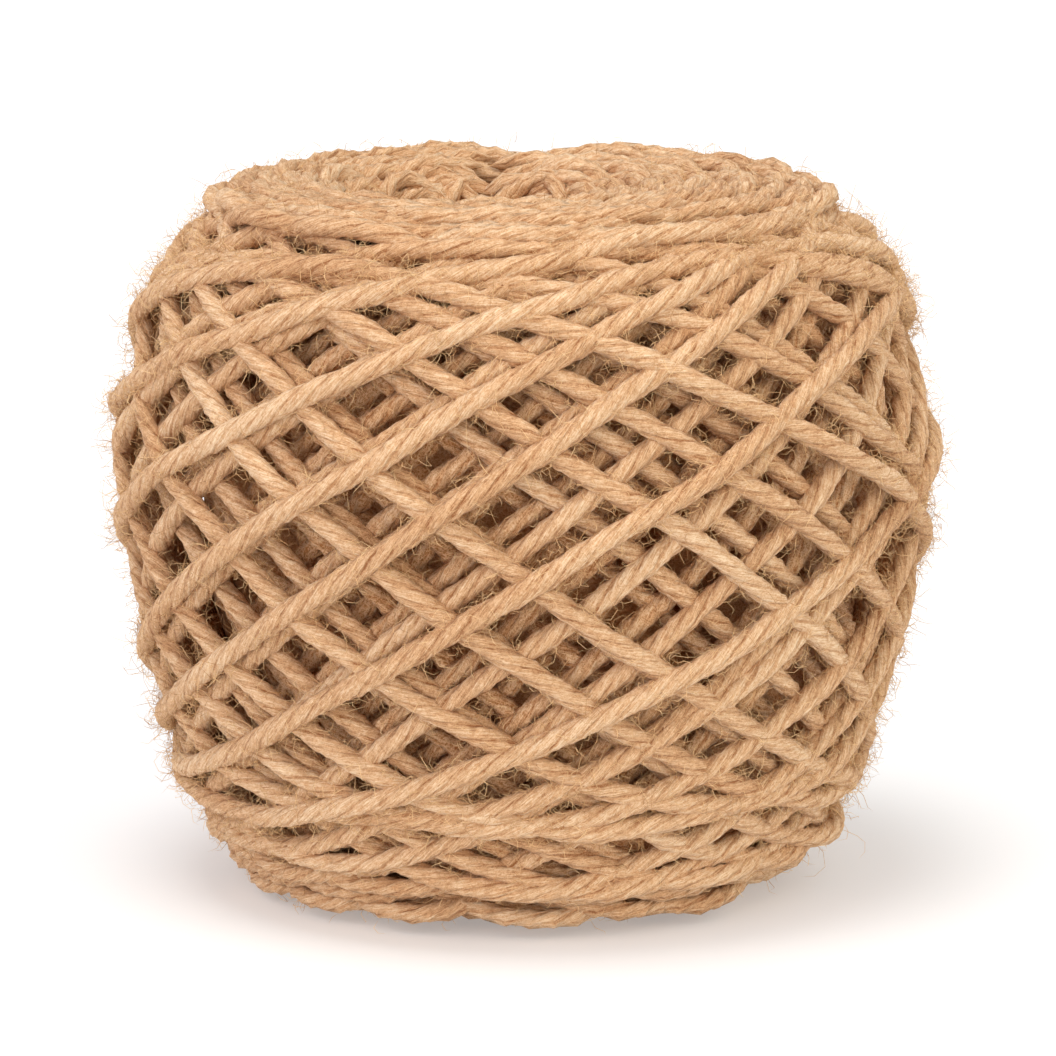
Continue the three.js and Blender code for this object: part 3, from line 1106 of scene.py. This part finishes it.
class Core:
    """The wound mass behind the drawn turns: a closed ring whose surface only shows as shade."""

    corners: tuple[tuple[float, float], ...] = (
        (16, 5), (25, 5), (29, 7.4), (31.6, 13), (32.4, 22), (33.6, 40), (33.8, 48), (32.4, 60),
        (30.4, 65), (27, 68.8), (22, 70), (17.4, 69.4), (13.4, 66.6), (11.4, 62), (11.4, 12), (12.8, 7),
    )
    segments: int = 96
    rows: int = 90
    ripple: float = 0.55
    waves: int = 8
    slant: float = 0.55
    # painted shade: the core's tone sits below the strands' middle tone of 0.5, so it is drawn darker
    tone: float = 0.25
    grain_stretch: tuple[float, float, float] = (1.0, 1.0, 3.0)

    def add_to(self, sheaf: Sheaf, form: Form) -> None:
        """Add the closed ring, rippled like packed strands.

        The ripple is |sin(waves * azimuth + slant * way round the section)|.

        Args:
            sheaf: the piece it joins.
            form: the ball's outline, which gives the open middle's sideways shift.
        """
        corners = np.array(self.corners + self.corners[:1], dtype=float)
        along = np.concatenate([[0.0], np.cumsum(np.linalg.norm(np.diff(corners, axis=0), axis=1))])
        wanted = np.linspace(0.0, along[-1], self.rows, endpoint=False)
        profile = np.stack([np.interp(wanted, along, corners[:, k]) for k in range(2)], axis=-1)
        slope = unit(np.roll(profile, -1, axis=0) - np.roll(profile, 1, axis=0))
        azimuth = 360.0 * np.arange(self.segments) / self.segments
        turned = np.radians(azimuth)[:, None]
        lift = self.ripple * np.abs(np.sin(self.waves * turned + wanted[None, :] * self.slant))
        radius = profile[None, :, 0] + lift * slope[None, :, 1]
        height = profile[None, :, 1] - lift * slope[None, :, 0]
        points = form.place(np.broadcast_to(azimuth[:, None], radius.shape), radius, height)
        points = points.reshape(-1, 3)
        index = np.arange(self.segments * self.rows).reshape(self.segments, self.rows)
        beyond = np.roll(index, -1, axis=0)
        quads = np.stack([index, beyond, np.roll(beyond, -1, axis=1), np.roll(index, -1, axis=1)], axis=-1)
        no_triangles = np.zeros((0, 3), dtype=int)
        grain = points * np.array(self.grain_stretch)
        sheaf.add(points, quads.reshape(-1, 4), no_triangles, grain, np.full(len(points), self.tone))


class YarnBall:
    """The whole ball: its sweeps of turns, its core and its stray fibres."""

    outer_depth: float = 1.25
    under_depth: float = 2.15

    def __init__(self, yarn: Yarn) -> None:
        """Make the finishes, keep the yarn and seed the irregularity."""
        self.wool = wool_material("plied_merino_wool", WoolFinish())
        self.fibre = fibre_material("stray_merino_fibre", FibreFinish())
        self.yarn = yarn
        self.rng = np.random.default_rng(SEED)
        self.courses: dict[int, list[Course]] = {}

    def sweeps(self) -> list[Sweep]:
        """All sweeps from the outermost inwards."""
        winding = Winding()
        return [
            TracedSweep(OUTER_ROWS, 7.25, self.outer_depth, self.rng),
            TracedSweep(UNDER_ROWS, 9.0, self.under_depth, self.rng),
        ] + [EvenSweep(winding.plan(number), self.rng) for number in range(winding.first, winding.last + 1)]

    def build_strands(self) -> list[bpy.types.Object]:
        """Build the strands, and keep their courses for the fibres.

        Returns:
            One joined piece for each reach of the ball.
        """
        sheaves = {reach: Sheaf() for reach in Reach}
        for number, sweep in enumerate(self.sweeps()):
            reach = Reach.of(number)
            detail = DETAILS[reach]
            self.courses[number] = [Course.of(line) for line in sweep.centre_lines(detail.step)]
            for course in self.courses[number]:
                Strand(course, self.yarn, detail.sides, self.rng).add_to(sheaves[reach])
        return [sheaf.build(reach.value, self.wool) for reach, sheaf in sheaves.items()]

    def build_core(self) -> bpy.types.Object:
        """Build the mass behind the strands."""
        sheaf = Sheaf()
        Core().add_to(sheaf, Form())
        return sheaf.build("yarn_core", self.wool)

    def build_fibres(self, plans: Sequence["FibrePlan"]) -> list[bpy.types.Object]:
        """Build the stray fibres on the strands that are built already.

        Args:
            plans: which sweeps each piece of fibres grows from, and how many there are.

        Returns:
            One joined piece for each plan.
        """
        pieces = []
        for plan in plans:
            sheaf = Sheaf()
            for sweeps, counts in plan.shares:
                courses = [course for number in sweeps for course in self.courses[number]]
                fibres = Fibres(courses, self.yarn, self.rng)
                for kind, count in zip((DOWN, HAIR, LOOP), counts):
                    if count:
                        fibres.add_to(sheaf, kind, count)
            pieces.append(sheaf.build(plan.name, self.fibre))
        return pieces


@dataclass(frozen=True)
class FibrePlan:
    """One piece of stray fibres: for each run of sweeps, its counts of down, hairs and loops."""

    name: str
    shares: tuple[tuple[range, tuple[int, int, int]], ...]


FIBRE_PLANS = (
    FibrePlan("fibres_outer", ((range(0, 1), (6000, 11000, 800)),)),
    FibrePlan("fibres_under", ((range(1, 2), (6000, 11000, 800)),)),
    FibrePlan(
        "fibres_deep",
        (
            (range(2, 3), (2000, 5600, 400)),
            (range(3, 4), (1000, 3800, 250)),
            (range(4, 6), (500, 2000, 100)),
        ),
    ),
    FibrePlan("fibres_ends", ((range(8, 27), (4500, 4200, 300)), (range(27, 29), (500, 300, 50)))),
)


# Studio


@dataclass(frozen=True)
class LampPlan:
    """A lamp: where its light travels, its power, the angle it fills in degrees, and its colour."""

    towards: tuple[float, float, float]
    strength: float
    spread: float
    colour: str


LAMPS = {
    "top": LampPlan(towards=(0.1, 0.14, -1.0), strength=1.25, spread=24.0, colour="#FFFDF8"),
    "left": LampPlan(towards=(0.75, 0.75, -0.5), strength=1.1, spread=60.0, colour="#FFEFEC"),
    "right": LampPlan(towards=(-0.75, 0.75, -0.5), strength=1.1, spread=60.0, colour="#FFF3D8"),
}


@dataclass(frozen=True)
class Studio:
    """White floor, soft light from above and the camera of the photograph."""

    floor_size: float = 12.0
    floor_colour: str = "#D9D9DA"
    floor_glow: float = 0.27
    sky_colour: str = "#F3F6FB"
    sky_strength: float = 0.7
    camera_distance: float = 0.6
    camera_elevation: float = 11.0
    sensor_width: float = 36.0
    nearest: float = 0.01
    aim: tuple[float, float, float] = (0.0005, 0.0, 0.0377)
    lens: float = 191.0

    def build_floor(self) -> bpy.types.Object:
        """Lay the floor in the resting plane."""
        half = self.floor_size / 2
        mesh = bpy.data.meshes.new("studio_floor")
        corners = [(-half, -half, 0), (half, -half, 0), (half, half, 0), (-half, half, 0)]
        mesh.from_pydata(corners, [], [(0, 1, 2, 3)])
        mesh.materials.append(floor_material("studio_paper", self.floor_colour, self.floor_glow))
        floor = bpy.data.objects.new("studio_floor", mesh)
        bpy.context.scene.collection.objects.link(floor)
        return floor

    def build_sky(self) -> None:
        """Fill the studio with even pale light."""
        world = bpy.data.worlds.new("studio_sky")
        world.use_nodes = True
        ground = world.node_tree.nodes["Background"]
        ground.inputs["Color"].default_value = linear(self.sky_colour)
        ground.inputs["Strength"].default_value = self.sky_strength
        bpy.context.scene.world = world

    def add_light(self, name: str, lamp_plan: LampPlan) -> None:
        """Add a broad soft lamp that shines along a direction.

        Args:
            name: the lamp's name.
            lamp_plan: its direction, power, spread and colour.
        """
        lamp = bpy.data.lights.new(name, "SUN")
        lamp.energy = lamp_plan.strength
        lamp.angle = math.radians(lamp_plan.spread)
        lamp.color = linear(lamp_plan.colour)[:3]
        holder = bpy.data.objects.new(name, lamp)
        holder.rotation_euler = Vector(lamp_plan.towards).to_track_quat("-Z", "Y").to_euler()
        bpy.context.scene.collection.objects.link(holder)

    def build_camera(self) -> None:
        """Stand the camera in front and a little above, looking at the ball's middle."""
        lens = bpy.data.cameras.new("camera")
        lens.lens = self.lens
        lens.sensor_width = self.sensor_width
        lens.clip_start = self.nearest
        camera = bpy.data.objects.new("camera", lens)
        rise = math.radians(self.camera_elevation)
        aim = Vector(self.aim)
        back = Vector((0.0, -math.cos(rise), math.sin(rise))) * self.camera_distance
        camera.location = aim + back
        camera.rotation_euler = (-back).to_track_quat("-Z", "Y").to_euler()
        scene = bpy.context.scene
        scene.collection.objects.link(camera)
        scene.camera = camera


def main() -> None:
    """Build the ball and the studio, and report each piece."""
    logging.basicConfig(level=logging.INFO, format="%(name)s: %(message)s")
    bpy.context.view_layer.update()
    ball = YarnBall(Yarn())
    pieces = ball.build_strands()
    pieces.append(ball.build_core())
    pieces.extend(ball.build_fibres(FIBRE_PLANS))
    LOG.info("triangles in all: %d", sum(len(p.data.loops) - 2 * len(p.data.polygons) for p in pieces))
    for piece in pieces:
        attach(piece, CAD_BODY)
        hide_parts(CAD_NODE)
    studio = Studio()
    studio.build_floor()
    studio.build_sky()
    for name, lamp_plan in LAMPS.items():
        studio.add_light(name, lamp_plan)
    studio.build_camera()
    bpy.context.scene.view_settings.view_transform = "Standard"


if __name__ == "__main__":
    main()
